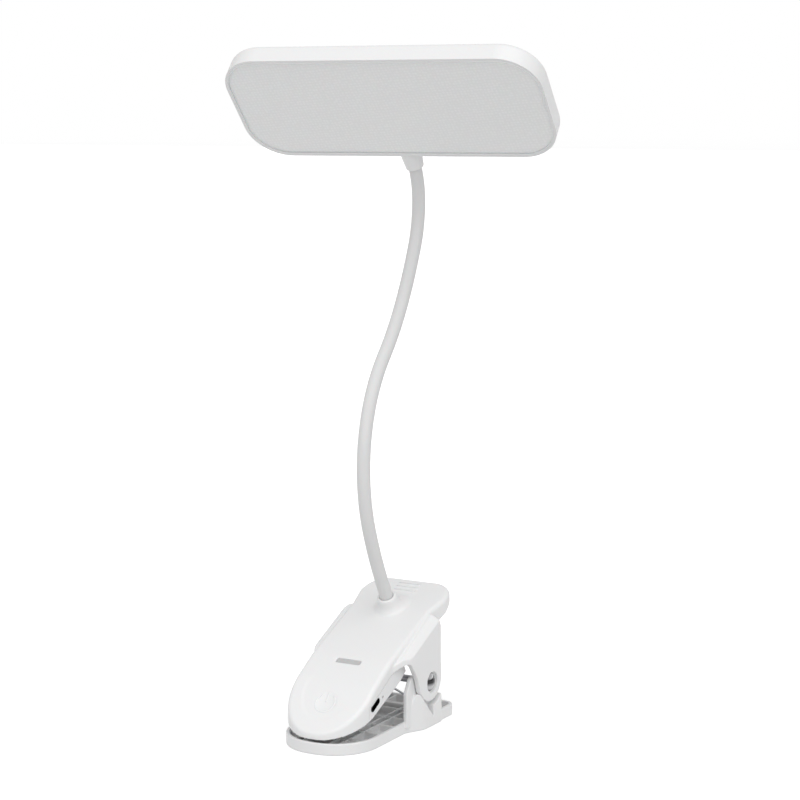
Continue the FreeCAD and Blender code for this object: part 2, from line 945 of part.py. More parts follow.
def build_cover():
    """The under-cover: a tub below the jaw and a plate under the press tail."""
    gap = size("seam_gap")
    wall = size("cover_wall")
    back_y = Size.of(3.2)
    floor_back = size("mouth_back_height")
    floor_front = size("mouth_tip_height")
    half = SHELL_HALF - 0.2
    narrow = SHELL_HALF - WALL - gap
    tip = NOSE + WALL + gap
    step = SEAM[0] + gap
    outside = [
        (NOSE + 0.3, size("nose_low") - gap),
        (SEAM[0], SEAM[1] - gap),
        (ARCH[0], ARCH[1] - gap),
        (back_y, KINK[1] - gap - 0.2),
        (back_y + 2.2, floor_back + 4),
        (0, floor_back),
        (NOSE + 1.1, floor_front),
    ]
    first = tip + wall
    rise = wall * 1.1
    inner = half - wall
    inside = [
        (first, floor_back + rise + first * FLOOR_SLOPE),
        (first, 60),
        (back_y - wall, 60),
        (back_y - wall, floor_back + rise + (back_y - wall) * FLOOR_SLOPE),
    ]
    layers = [
        cover_layer("cover_nose", outside, narrow, tip),
        cover_layer("cover_rear", outside, half, NOSE + 0.3, step),
        cover_layer("nose_hollow", inside, narrow - wall, first),
        cover_layer("rear_hollow", inside, inner, NOSE + 0.3 + wall, step + 1),
    ]
    plate = new_body("cover_plate")
    plate_profile = new_sketch(plate, "YZ_Plane")
    back = BACK - WALL - 0.3
    back_z = BELLY[1] + (BACK_LOW - BELLY[1]) * ((back - BELLY[0]) / (BACK - BELLY[0]))
    outline(plate_profile, [
        (back_y - wall, floor_back + 4),
        (back_y, floor_back + 4),
        (back_y, KINK[1]),
        KINK,
        BELLY,
        (back, back_z),
        (back, back_z + rise),
        (BELLY[0] - 0.4, BELLY[1] + rise),
        (KINK[0] - 0.4, KINK[1] + rise),
        (back_y - wall, KINK[1] + rise),
    ])
    pad(plate, plate_profile, (inner - 0.3) * 2, symmetric=True)
    trim(plate, mirrored([
        (inner - 0.3, -10),
        (inner - 0.3, back, 11),
    ]))
    tub = cut("cover_tub", fuse("cover_solid", layers[0], layers[1]), layers[2], layers[3])
    port = slab(
        "port_hole",
        port_place(SHELL_HALF - 4),
        size("port_width"),
        size("port_thickness"),
        8,
        size("port_thickness") / 2 - 0.02,
    )
    spot = Placement(
        Vector(float(SHELL_HALF) - 4, -18.9, 25),
        Rotation(Vector(0, 1, 0), 90),
    )
    spot_hole = rod("charge_light_hole", spot, 0.8, 8)
    return cut("upper_cover", fuse("cover_joined", tub, plate), port, spot_hole)


def port_place(x):
    """A placement on the right side wall with its Z axis pointing outwards."""
    slope = float(size("port_slope"))
    along = Vector(0, cosine(slope), sine(slope))
    up = Vector(0, -sine(slope), cosine(slope))
    turn = Rotation(along, up, Vector(1, 0, 0), "ZXY")
    where = Vector(float(x), -float(size("port_place")), float(size("port_height")))
    return Placement(where, turn)



# ---------------------------------------------------------------- inside the upper jaw


def board_place(lift_by=0, along=0, x=0):
    """A placement on top of the control board, moved along its slope."""
    middle = -size("board_place")
    return on_slope(middle, size("board_height"), size("board_slope"), lift_by, x) * Placement(
        Vector(0, float(along), 0), Rotation()
    )


def build_inner_parts():
    """Control board, inlet, lights, touch spring, battery and grip pad."""
    thin = size("control_board_thickness")
    width = size("control_board_width")
    length = size("control_board_length")
    board = new_body("control_board")
    plan = new_sketch(board, "XY_Plane")
    outline(plan, mirrored([
        (width / 2, -length / 2, width / 2 - 2),
        (width / 2, length / 2),
    ]))
    pad(board, plan, thin)
    board.Placement = board_place(-float(thin))

    depth = size("socket_depth")
    socket_start = SHELL_HALF - 0.3 - depth
    inlet = new_body("usb_socket")
    rim = new_sketch(inlet, "XY_Plane")
    half_wide = size("port_width") / 2 - 0.2
    half_high = size("port_thickness") / 2 - 0.1
    rectangle(rim, -half_wide, -half_high, half_wide, half_high, half_high - 0.02)
    pad(inlet, rim, depth)
    throat = new_sketch(inlet, "XY_Plane")
    lift(throat, 1)
    shell = 0.3
    inner_high = half_high - shell
    inner_wide = half_wide - shell
    rectangle(throat, -inner_wide, -inner_high, inner_wide, inner_high, inner_high - 0.02)
    pocket(inlet, throat, depth, symmetric=False, backwards=True)
    tongue = new_sketch(inlet, "XY_Plane")
    rectangle(tongue, -3.3, -0.35, 3.3, 0.35)
    pad(inlet, tongue, depth - 1)
    inlet.Placement = port_place(socket_start)

    window = new_body("indicator_window")
    bar = new_sketch(window, "XY_Plane")
    half_long = size("window_length") / 2 - 0.1
    half_wide = size("window_width") / 2 - 0.1
    rectangle(bar, -half_long, -half_wide, half_long, half_wide, size("window_corner"))
    pad(window, bar, size("window_depth") - size("window_recess"))
    legs = new_sketch(window, "XY_Plane")
    for side in (-1, 1):
        circle(legs, size("light_place") * side, 0, 1.2)
    pad(window, legs, size("light_pipe"), backwards=True)
    window.Placement = window_place(-float(size("window_depth")))

    chips = []
    for side in (-1, 1):
        chip = Part.makeBox(3, 2.4, 0.8, Vector(-1.5, -1.2, 0))
        reach = float(size("light_place")) * side
        chip.Placement = board_place(0.02, float(size("light_board_place")), reach)
        chips.append(chip)
    lights = group("status_leds", chips)

    wire = float(size("touch_wire"))
    touch_radius = float(size("touch_radius"))
    touch_rise = float(size("touch_rise"))
    turns = float(size("touch_turns"))
    coil = coil_along(Part.makeHelix(touch_rise / turns, touch_rise, touch_radius), wire)
    coil.Placement = board_place(wire * 0.55, float(size("touch_board_place")))
    touch = doc.addObject("Part::Feature", "touch_spring")
    touch.Shape = coil
    touch.Label = "touch_spring"

    slope = float(size("battery_slope"))
    place = on_slope(size("battery_place"), size("battery_height"), slope)
    battery = slab(
        "battery",
        place,
        size("battery_width"),
        size("battery_length"),
        size("battery_thickness"),
        1.5,
    )
    grip = new_body("grip_pad")
    grip_plan = new_sketch(grip, "XY_Plane")
    outline(grip_plan, mirrored([
        (size("grip_width") / 2, -size("grip_length") / 2, 12),
        (size("grip_width") / 2, size("grip_length") / 2, 2),
    ]))
    pad(grip, grip_plan, size("grip_thickness"))
    floor_slope = math.degrees(math.atan(float(FLOOR_SLOPE)))
    grip_y = -size("grip_place")
    fall = float(size("grip_place")) * math.tan(math.radians(floor_slope))
    grip_z = size("mouth_back_height") - fall
    grip.Placement = on_slope(grip_y, grip_z, floor_slope, -float(size("grip_thickness")))
    doc.recompute()
    return [board, inlet, window, lights, touch, battery, grip]


# ---------------------------------------------------------------- neck


def neck_starts():
    """Where each arc of the neck starts: (y, z, lean), and where the last one ends."""
    y, z = (float(item) for item in NECK_START)
    lean = float(NECK_LEAN)
    starts = [(y, z, lean)]
    for index in range(1, 9):
        bend = float(size(f"neck_bend_{index}"))
        length = float(size(f"neck_length_{index}"))
        radius = length / math.radians(bend)
        after = lean + bend
        y += radius * (cosine(lean) - cosine(after))
        z += radius * (sine(after) - sine(lean))
        lean = after
        starts.append((y, z, lean))
    return starts


STARTS = neck_starts()


def arc(name, index, radius):
    """One bent round bar of the neck, as a piece of a ring."""
    y, z, lean = STARTS[index - 1]
    bend = size(f"neck_bend_{index}")
    ring_radius = size(f"neck_length_{index}") * 180 / math.pi / bend
    towards = Vector(0, cosine(lean), -sine(lean))
    side = 1 if bend.number > 0 else -1
    centre = Vector(0, y, z) + towards * ring_radius.number
    turn = Rotation(towards * -side, Vector(0, sine(lean), cosine(lean)), Vector(-side, 0, 0), "ZXY")
    ring = doc.addObject("Part::Torus", name)
    bind(ring, "Radius1", ring_radius * side)
    bind(ring, "Radius2", radius)
    bind(ring, "Angle3", bend * side)
    ring.Placement = Placement(centre, turn)
    return ring


def neck_bar(name, index, radius):
    """The arc, with the straight root or end that belongs to it."""
    pieces = [arc(f"{name}_arc", index, radius)]
    if index == 1:
        root = size("neck_root")
        pieces.append(rod(f"{name}_root", neck_frame(*STARTS[0], -root.number), radius, root))
    if index == 8:
        end = size("neck_end")
        pieces.append(rod(f"{name}_end", neck_frame(*STARTS[8]), radius, end))
    if len(pieces) == 1:
        return pieces[0]
    return fuse(f"{name}_bar", *pieces)


def build_neck_segment(index):
    """Sleeve, steel core and lead of one segment, with ball and socket ends."""
    outside = neck_bar(f"sleeve_{index}_outside", index, size("neck_radius"))
    bore = neck_bar(f"sleeve_{index}_bore", index, size("neck_bore"))
    tools = [bore]
    socket = []
    if index > 1:
        hinge = Vector(0, *STARTS[index - 1][:2])
        socket = [ball(f"socket_{index}", hinge, size("neck_radius") + size("ball_gap"))]
    if index < 8:
        tip = Vector(0, *STARTS[index][:2])
        rounded = ball(f"ball_{index}", tip, size("neck_radius"))
        outside = fuse(f"sleeve_{index}_with_ball", outside, rounded)
        tools.append(rod(f"way_{index}", neck_frame(*STARTS[index]), size("core_bore"), 4))
    sleeve = cut(f"neck_sleeve_{index}", outside, *tools, *socket)
    core = cut(
        f"neck_core_{index}",
        neck_bar(f"core_{index}_outside", index, size("core_radius")),
        neck_bar(f"core_{index}_bore", index, size("core_bore")),
        *socket,
    )
    lead = neck_bar(f"lead_{index}_bar", index, size("lead_radius"))
    if socket:
        lead = cut(f"neck_lead_{index}", lead, *socket)
    lead.Label = f"neck_lead_{index}"
    return [sleeve, core, lead]


def build_neck_foot():
    """The threaded ferrule and the nut that hold the neck in the boss."""
    root = float(size("neck_root"))
    length = size("ferrule_length")
    ferrule_place = neck_frame(*NECK_START, NECK_LEAN, -root - 0.1 - float(length))
    outside = rod("ferrule_outside", ferrule_place, size("neck_radius"), length)
    bore = rod("ferrule_bore", ferrule_place, size("lead_radius") + 0.2, length)
    ferrule = cut("neck_ferrule", outside, bore)
    nut = new_body("neck_nut")
    plan = new_sketch(nut, "XY_Plane")
    across = size("nut_radius")
    outline(plan, [(across * cosine(60 * i), across * sine(60 * i)) for i in range(6)])
    circle(plan, 0, 0, size("neck_radius") + 0.02)
    pad(nut, plan, size("nut_thickness"))
    nut.Placement = neck_frame(*NECK_START, NECK_LEAN, -float(size("nut_place")))
    return [ferrule, nut]


# ---------------------------------------------------------------- head

HEAD_HALF = size("head_depth") / 2
HEAD_THICK = size("head_thickness")


def head_frame(z=0, x=0, y=0):
    """A placement in the head: X across, Y towards the neck, Z out of the back."""
    end_y, end_z, lean = STARTS[8]
    reach = float(size("head_reach"))
    edge = Vector(0, end_y + reach * sine(lean), end_z + reach * cosine(lean))
    turn = Rotation(Vector(0, 0, 1), float(size("head_turn")))
    turn = turn * Rotation(Vector(1, 0, 0), -float(size("head_tilt")))
    inner = Vector(float(x), float(y) - float(HEAD_HALF), float(z) - float(HEAD_THICK) / 2)
    return Placement(edge, turn) * Placement(inner, Rotation())


def plate(body, inset, start, thickness, cutting=False):
    """Add or remove a rounded plate of the head's own outline, drawn smaller."""
    sketch = new_sketch(body, "XY_Plane")
    lift(sketch, start)
    half = size("head_width") / 2 - inset
    rectangle(sketch, -half, inset - HEAD_HALF, half, HEAD_HALF - inset, size("head_radius") - inset)
    if cutting:
        return pocket(body, sketch, thickness, symmetric=False, backwards=True)
    return pad(body, sketch, thickness)


def head_block(name):
    body = new_body(name)
    plate(body, 0, 0, HEAD_THICK)
    fillet(body, body.Tip, size("head_back_radius"), lambda shape, edge: (
        edge.BoundBox.ZMin > float(HEAD_THICK) - 0.01
    ))
    body.Placement = head_frame()
    return body


def build_head():
    """Back shell, diffuser, LED board with its LEDs, and the collar."""
    wall = size("head_wall")
    recess = size("diffuser_recess")
    thick = size("diffuser_thickness")
    ledge = size("diffuser_ledge")
    envelope = head_block("head_envelope")
    shell = head_block("head_shell_solid")
    plate(shell, wall, 0, recess + thick, cutting=True)
    plate(shell, wall + ledge, recess + thick - 0.1, ledge + 0.1, cutting=True)
    plate(shell, wall, recess + thick + ledge, HEAD_THICK - wall - recess - thick - ledge, cutting=True)
    way = rod("head_way", neck_frame(*STARTS[8], 3), size("neck_radius") + 0.2, 8)
    back = cut("head_back_shell", shell, way)

    diffuser = new_body("head_diffuser")
    plate(diffuser, wall + size("part_gap"), recess, thick)
    diffuser.Placement = head_frame()

    board_z = HEAD_THICK - wall - size("board_thickness")
    board = slab(
        "led_board",
        head_frame(board_z),
        size("led_board_width"),
        size("led_board_depth"),
        size("board_thickness"),
        8,
    )
    wide, deep, high = (float(size(f"led_{side}")) for side in ("width", "depth", "thickness"))
    columns, rows = int(float(size("led_columns"))), int(float(size("led_rows")))
    pitch = float(size("led_pitch"))
    chips = []
    for row in range(rows):
        for column in range(columns):
            x = (column - (columns - 1) / 2) * pitch
            y = (row - (rows - 1) / 2) * float(size("led_row_pitch"))
            chip = Part.makeBox(wide, deep, high, Vector(-wide / 2, -deep / 2, -high))
            chip.Placement = head_frame(board_z, x, y)
            chips.append(chip)
    leds = group("led_chips", chips)

    collar = new_body("collar_turned")
    sketch = new_sketch(collar, "XZ_Plane")
    inner = size("neck_radius") + size("collar_gap")
    low = -size("collar_lip")
    outline(sketch, [
        (inner, low),
        (size("collar_lip_radius"), low, 0.4),
        (size("collar_top_radius"), low + size("collar_length")),
        (inner, low + size("collar_length")),
    ])
    axis = [item for item in collar.Origin.OriginFeatures if item.Role == "Z_Axis"][0]
    revolve(collar, sketch, (axis, [""]))
    collar.Placement = neck_frame(*STARTS[8])
    ring = cut("neck_collar", collar, envelope)
    return [back, diffuser, board, leds, ring]


# ---------------------------------------------------------------- build and write


def build_all():
    pieces = [build_lower_jaw(), build_upper_shell(), build_cover()]
    pieces += build_pin()
    pieces.append(build_spring())
    pieces += build_inner_parts()
    pieces += build_neck_foot()
    for index in range(1, 9):
        pieces += build_neck_segment(index)
    pieces += build_head()
    doc.recompute()
    return pieces


def write(pieces):
    """Check every document object, then write one STEP file per piece."""
    for item in doc.Objects:
        if "Invalid" in item.State or "Error" in item.State:
            raise RuntimeError(f"{item.Name} is {item.State}")
    os.makedirs("parts", exist_ok=True)
    for piece in pieces:
        shape = piece.Shape
        if shape.isNull() or not shape.isValid() or shape.Volume <= 0:
            raise RuntimeError(f"{piece.Label} has no good shape")
        shape.exportStep(f"parts/{piece.Label}.step")


write(build_all())
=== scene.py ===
"""Looks of the clip-on reading lamp: one lamp on a pale studio floor."""

import json
import math

import bmesh
import bpy
from mathutils import Matrix, Vector
from mathutils.bvhtree import BVHTree


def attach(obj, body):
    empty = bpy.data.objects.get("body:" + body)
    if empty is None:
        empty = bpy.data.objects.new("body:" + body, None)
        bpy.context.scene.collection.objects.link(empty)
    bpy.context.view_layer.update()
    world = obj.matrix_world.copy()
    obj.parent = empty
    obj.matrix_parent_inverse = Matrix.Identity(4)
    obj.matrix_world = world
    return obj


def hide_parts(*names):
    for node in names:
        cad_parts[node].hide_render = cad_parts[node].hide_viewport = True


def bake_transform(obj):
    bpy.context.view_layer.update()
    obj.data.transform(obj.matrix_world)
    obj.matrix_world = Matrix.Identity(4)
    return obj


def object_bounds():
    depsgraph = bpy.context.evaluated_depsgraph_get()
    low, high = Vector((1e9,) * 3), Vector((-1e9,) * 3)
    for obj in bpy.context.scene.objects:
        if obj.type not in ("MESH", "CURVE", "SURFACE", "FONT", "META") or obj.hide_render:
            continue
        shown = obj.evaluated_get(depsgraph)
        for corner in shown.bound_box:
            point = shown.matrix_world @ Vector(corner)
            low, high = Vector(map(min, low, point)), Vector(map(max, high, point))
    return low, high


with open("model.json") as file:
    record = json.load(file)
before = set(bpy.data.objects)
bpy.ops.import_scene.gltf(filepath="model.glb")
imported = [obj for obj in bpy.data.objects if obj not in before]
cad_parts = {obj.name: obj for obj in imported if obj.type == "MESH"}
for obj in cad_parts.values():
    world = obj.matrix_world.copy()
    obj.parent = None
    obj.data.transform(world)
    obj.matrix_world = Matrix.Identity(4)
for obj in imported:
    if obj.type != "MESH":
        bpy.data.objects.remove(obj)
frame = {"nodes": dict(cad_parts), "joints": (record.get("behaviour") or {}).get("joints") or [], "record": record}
cad_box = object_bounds()

MM = 0.001
NODES = frame["nodes"]
HINGE = next(Vector(joint["pos_m"]) for joint in frame["joints"] if joint["name"] == "clip_hinge")


# ---------------------------------------------------------------- materials


class Graph:
    """A material and the few calls that its node graph is drawn with."""

    def __init__(self, name):
        self.material = bpy.data.materials.new(name)
        self.material.use_nodes = True
        self.tree = self.material.node_tree
        self.shader = self.tree.nodes["Principled BSDF"]
        self.place = self.add("ShaderNodeTexCoord").outputs["Object"]

    def add(self, kind, **values):
        node = self.tree.nodes.new(kind)
        for key, value in values.items():
            if hasattr(node, key):
                setattr(node, key, value)
            else:
                node.inputs[key.replace("_", " ")].default_value = value
        return node

    def link(self, start, end):
        self.tree.links.new(start, end)

    def set(self, **values):
        """Constants on the shader's own sockets."""
        for key, value in values.items():
            self.shader.inputs[key.replace("_", " ")].default_value = value

    def noise(self, scale, detail=2.0, place=None):
        node = self.add("ShaderNodeTexNoise", Scale=scale, Detail=detail)
        self.link(place or self.place, node.inputs["Vector"])
        return node.outputs["Fac"]

    def spread(self, factor, low, high, start=0.0, end=1.0):
        """Stretch a 0 to 1 value to the range low to high."""
        node = self.add("ShaderNodeMapRange")
        node.inputs["From Min"].default_value = start
        node.inputs["From Max"].default_value = end
        node.inputs["To Min"].default_value = low
        node.inputs["To Max"].default_value = high
        self.link(factor, node.inputs["Value"])
        return node.outputs["Result"]

    def mix(self, factor, first, second):
        """Blend two colours; either may be a socket."""
        node = self.add("ShaderNodeMix", data_type="RGBA")
        self.link(factor, node.inputs["Factor"])
        for socket, colour in (("A", first), ("B", second)):
            target = [s for s in node.inputs if s.name == socket and s.type == "RGBA"][0]
            if isinstance(colour, bpy.types.NodeSocket):
                self.link(colour, target)
            else:
                target.default_value = (*colour, 1.0)
        return [s for s in node.outputs if s.type == "RGBA"][0]

    def bump(self, height, strength, distance, normal=None):
        node = self.add("ShaderNodeBump")
        node.inputs["Strength"].default_value = strength
        node.inputs["Distance"].default_value = distance
        self.link(height, node.inputs["Height"])
        if normal is not None:
            self.link(normal, node.inputs["Normal"])
        self.link(node.outputs["Normal"], self.shader.inputs["Normal"])
        return node.outputs["Normal"]

    def colour(self, socket):
        self.link(socket, self.shader.inputs["Base Color"])

    def roughness(self, socket):
        self.link(socket, self.shader.inputs["Roughness"])


# Chrome caps: painted reflection tones by height (grey foot, bright crown, dark bands), not a real reflection.
CAP_RADIUS = 5.2 * MM
CAP_PAINTED_FOOT_REFLECTION = 0.36
CAP_PAINTED_CROWN_HIGHLIGHT = 0.85
CAP_PAINTED_REFLECTION_BANDS = ((0.3, 0.4), (0.5, 0.04), (0.66, 0.04), (0.76, 0.7))
# Painted shadow in the recess round the cap: dark from the start to the end radius and beyond.
CAP_RIM_SHADOW_START = CAP_RADIUS * 0.86
CAP_RIM_SHADOW_END = CAP_RADIUS * 0.95
CAP_PAINTED_RIM_SHADOW = (0.03, 0.03, 0.03)
FLOOR_GLOW = 0.25


def grey(level, tint=0.0):
    """A nearly neutral colour; tint leans it towards blue."""
    return (level - tint / 2, level, level + tint)


def moulded_plastic(name, level, rough, grain=2600, tint=0.002):
    """Injection-moulded plastic: faint flow tone, spark-eroded grain, uneven gloss."""
    graph = Graph(name)
    flow = graph.noise(28, 3)
    graph.colour(graph.mix(flow, grey(level * 0.985, tint), grey(level * 1.008, tint)))
    graph.roughness(graph.spread(graph.noise(140, 4), rough - 0.05, rough + 0.05))
    wave = graph.bump(graph.noise(55, 1), 0.05, 0.0004)
    graph.bump(graph.noise(grain, 2), 0.06, 0.00008, wave)
    graph.set(Specular_IOR_Level=0.42, Subsurface_Weight=0.04, Subsurface_Scale=0.002)
    return graph.material


def silicone(name, level):
    """Soft matte skin of the neck, with a dusty sheen and fine grain."""
    graph = Graph(name)
    dust = graph.noise(90, 5)
    graph.colour(graph.mix(dust, grey(level * 0.98), grey(level * 1.01)))
    graph.roughness(graph.spread(graph.noise(300, 3), 0.5, 0.62))
    graph.bump(graph.noise(1900, 3), 0.12, 0.00006)
    graph.set(Specular_IOR_Level=0.35, Sheen_Weight=0.05, Subsurface_Weight=0.06,
              Subsurface_Scale=0.002)
    return graph.material


def metal(name, colour, rough, streak=1400):
    """Bare metal with fine drawn or turned streaks."""
    graph = Graph(name)
    stretch = graph.add("ShaderNodeMapping")
    stretch.inputs["Scale"].default_value = (1, 0.08, 1)
    graph.link(graph.place, stretch.inputs["Vector"])
    streaks = graph.noise(streak, 3, stretch.outputs["Vector"])
    dark = tuple(part * 0.85 for part in colour)
    graph.colour(graph.mix(streaks, dark, colour))
    graph.roughness(graph.spread(graph.noise(400, 4), rough * 0.7, rough * 1.4))
    graph.bump(streaks, 0.04, 0.00003)
    graph.set(Metallic=1.0)
    return graph.material


def painted_reflection_cap(name):
    """Chromed pin head with its reflection painted into the colour: a painted highlight above, a painted dark
    reflection band, painted grey below and a painted shadow in the recess at the rim.

    The tone is set by the distance from the hinge, so everything away from it, such as the inlet's shell, comes
    out dark in the same painted rim-shadow tone.
    """
    graph = Graph(name)
    parts = graph.add("ShaderNodeSeparateXYZ")
    graph.link(graph.place, parts.inputs["Vector"])
    # Painted reflection: a colour ramp by height across the cap.
    ramp = graph.add("ShaderNodeValToRGB")
    height = graph.spread(parts.outputs["Z"], 0, 1, HINGE.z - CAP_RADIUS, HINGE.z + CAP_RADIUS)
    graph.link(height, ramp.inputs["Fac"])
    steps = ramp.color_ramp
    steps.elements[0].color = (CAP_PAINTED_FOOT_REFLECTION, CAP_PAINTED_FOOT_REFLECTION, 0.37, 1)
    steps.elements[1].color = (CAP_PAINTED_CROWN_HIGHLIGHT, CAP_PAINTED_CROWN_HIGHLIGHT, 0.87, 1)
    for place, level in CAP_PAINTED_REFLECTION_BANDS:
        steps.elements.new(place).color = (level, level, level * 1.02, 1)
    flat = graph.add("ShaderNodeVectorMath", operation="MULTIPLY")
    flat.inputs[1].default_value = (0, 1, 1)
    graph.link(graph.place, flat.inputs[0])
    away = graph.add("ShaderNodeVectorMath", operation="DISTANCE")
    away.inputs[1].default_value = (0, HINGE.y, HINGE.z)
    graph.link(flat.outputs["Vector"], away.inputs[0])
    # Painted shadow: near-black colour beyond the cap's rim radius, standing in for the recess shade.
    rim = graph.spread(away.outputs["Value"], 0, 1, CAP_RIM_SHADOW_START, CAP_RIM_SHADOW_END)
    graph.colour(graph.mix(rim, ramp.outputs["Color"], CAP_PAINTED_RIM_SHADOW))
    graph.roughness(graph.spread(graph.noise(400, 4), 0.07, 0.15))
    graph.bump(graph.noise(900, 2), 0.03, 0.00002)
    graph.set(Metallic=1.0)
    return graph.material


def soft_part(name, colour, rough, scale):
    """Rubber, foil, boards, phosphor and insulation: mottled colour and gloss."""
    graph = Graph(name)
    mottle = graph.noise(scale, 4)
    dark = tuple(part * 0.82 for part in colour)
    graph.colour(graph.mix(mottle, dark, colour))
    graph.roughness(graph.spread(graph.noise(scale * 2, 3), rough - 0.1, rough + 0.1))
    graph.bump(mottle, 0.15, 0.00008)
    return graph.material


def head_axes():
    """The head's own directions, read from the diffuser: across, down and out of the front."""
    mesh = NODES["head_diffuser"].data
    biggest = max(mesh.polygons, key=lambda face: face.area)
    out = biggest.normal.copy()
    if out.y > 0:
        out = -out
    corners = [vertex.co for vertex in mesh.vertices]
    left = min(corners, key=lambda place: place.x)
    right = max(corners, key=lambda place: place.x)
    across = (right - left)
    across -= out * across.dot(out)
    across = Vector((across.x, across.y, 0))
    across = (across - out * across.dot(out)).normalized()
    return across, out.cross(across).normalized(), out


def frosted_diffuser(name):
    """Frosted sheet with a close pattern of small lens dots pressed into it."""
    graph = Graph(name)
    across, down, out = head_axes()
    turn = Matrix((across, down, out)).to_euler()
    flat = graph.add("ShaderNodeMapping", vector_type="POINT")
    flat.inputs["Rotation"].default_value = turn
    graph.link(graph.place, flat.inputs["Vector"])
    dots = graph.add("ShaderNodeTexVoronoi", feature="F1", Scale=520, Randomness=0.35)
    graph.link(flat.outputs["Vector"], dots.inputs["Vector"])
    dot = graph.spread(dots.outputs["Distance"], 1, 0, 0.15, 0.5)
    cloud = graph.noise(24, 2)
    base = graph.mix(cloud, grey(0.80), grey(0.82))
    graph.colour(graph.mix(dot, base, grey(0.86)))
    graph.roughness(graph.spread(graph.noise(300, 2), 0.32, 0.44))
    graph.bump(dot, 0.12, 0.0001)
    graph.set(Specular_IOR_Level=0.4, Subsurface_Weight=0.1, Subsurface_Scale=0.003)
    return graph.material


def frosted_window(name):
    """The grey light bar: cloudy clear plastic."""
    graph = Graph(name)
    cloud = graph.noise(500, 3)
    graph.colour(graph.mix(cloud, grey(0.42), grey(0.5)))
    graph.roughness(graph.spread(cloud, 0.3, 0.45))
    graph.bump(cloud, 0.05, 0.00005)
    graph.set(Specular_IOR_Level=0.5, Subsurface_Weight=0.15, Subsurface_Scale=0.002)
    return graph.material


def studio_floor(name):
    graph = Graph(name)
    graph.colour(graph.mix(graph.noise(3, 4), grey(0.96), grey(0.98)))
    graph.roughness(graph.spread(graph.noise(60, 3), 0.6, 0.75))
    graph.set(Emission_Color=(1, 1, 1, 1), Emission_Strength=FLOOR_GLOW)
    return graph.material


MATERIALS = {
    "white_plastic": moulded_plastic("white_plastic", 0.75, 0.38),
    "cover_plastic": moulded_plastic("cover_plastic", 0.74, 0.4),
    "tray_plastic": moulded_plastic("tray_plastic", 0.74, 0.4),
    "silicone": silicone("silicone", 0.66),
    "grip_rubber": soft_part("grip_rubber", (0.06, 0.06, 0.062), 0.75, 1500),
    "diffuser": frosted_diffuser("diffuser"),
    "clear_plastic": frosted_window("clear_plastic"),
    # Chrome caps with a painted reflection and a painted shadow round the rim.
    "chrome": painted_reflection_cap("chrome"),
    "steel": metal("steel", (0.55, 0.55, 0.57), 0.3),
    "brass": metal("brass", (0.75, 0.62, 0.32), 0.25),
    "board": soft_part("board", (0.03, 0.2, 0.09), 0.35, 900),
    "led_board": soft_part("led_board", (0.85, 0.85, 0.83), 0.4, 600),
    "led": soft_part("led", (0.9, 0.75, 0.25), 0.4, 1500),
    "battery": soft_part("battery", (0.62, 0.62, 0.65), 0.35, 500),
    "lead": soft_part("lead", (0.6, 0.06, 0.05), 0.5, 1200),
}


def dress_nodes():
    """Give every CAD node the material of its slot."""
    for entry in frame["record"]["subparts"]:
        node = NODES[entry["node"]]
        node.data.materials.clear()
        node.data.materials.append(MATERIALS[entry["material_slot"]])


# ---------------------------------------------------------------- shared mesh work


def mesh_piece(name, mesh, body, slot, *stands_for):
    """A finished mesh as a piece of the lamp, in place of its CAD nodes."""
    mesh.materials.clear()
    mesh.materials.append(MATERIALS[slot])
    piece = bpy.data.objects.new(name, mesh)
    bpy.context.scene.collection.objects.link(piece)
    if stands_for:
        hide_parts(*stands_for)
    if body:
        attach(piece, body)
    return piece


def mesh_of(builder):
    """A smooth-shaded mesh from a builder, which is then freed."""
    mesh = bpy.data.meshes.new("piece")
    bmesh.ops.recalc_face_normals(builder, faces=builder.faces)
    builder.to_mesh(mesh)
    builder.free()
    for face in mesh.polygons:
        face.use_smooth = True
    return mesh


def softened(node, voxel, rounds, factor=0.5):
    """A copy of a CAD node's mesh whose corners are all slightly rounded."""
    holder = bpy.data.objects.new("softening", NODES[node].data.copy())
    bpy.context.scene.collection.objects.link(holder)
    remesh = holder.modifiers.new("remesh", "REMESH")
    remesh.mode = "VOXEL"
    remesh.voxel_size = voxel
    smooth = holder.modifiers.new("smooth", "SMOOTH")
    smooth.factor = factor
    smooth.iterations = rounds
    bpy.context.view_layer.update()
    graph = bpy.context.evaluated_depsgraph_get()
    mesh = bpy.data.meshes.new_from_object(holder.evaluated_get(graph))
    bpy.data.objects.remove(holder)
    for face in mesh.polygons:
        face.use_smooth = True
    return mesh


# ---------------------------------------------------------------- neck


NECK_START = Vector((0, 23.0, 73.5)) * MM
NECK_END = Vector((0, 56.412, 300.118)) * MM
NECK_LEAN = math.radians(-28.8)
NECK_ROOT = 12 * MM
NECK_TIP = 4 * MM
NECK_RADIUS = 3.6 * MM
NECK_SIDES = 40
RING_STEP = 0.8 * MM
NECK_JOINTS = ("neck_bend_low", "neck_sway_low", "neck_bend_middle", "neck_sway_high",
               "neck_bend_high", "head_turn", "head_nod")


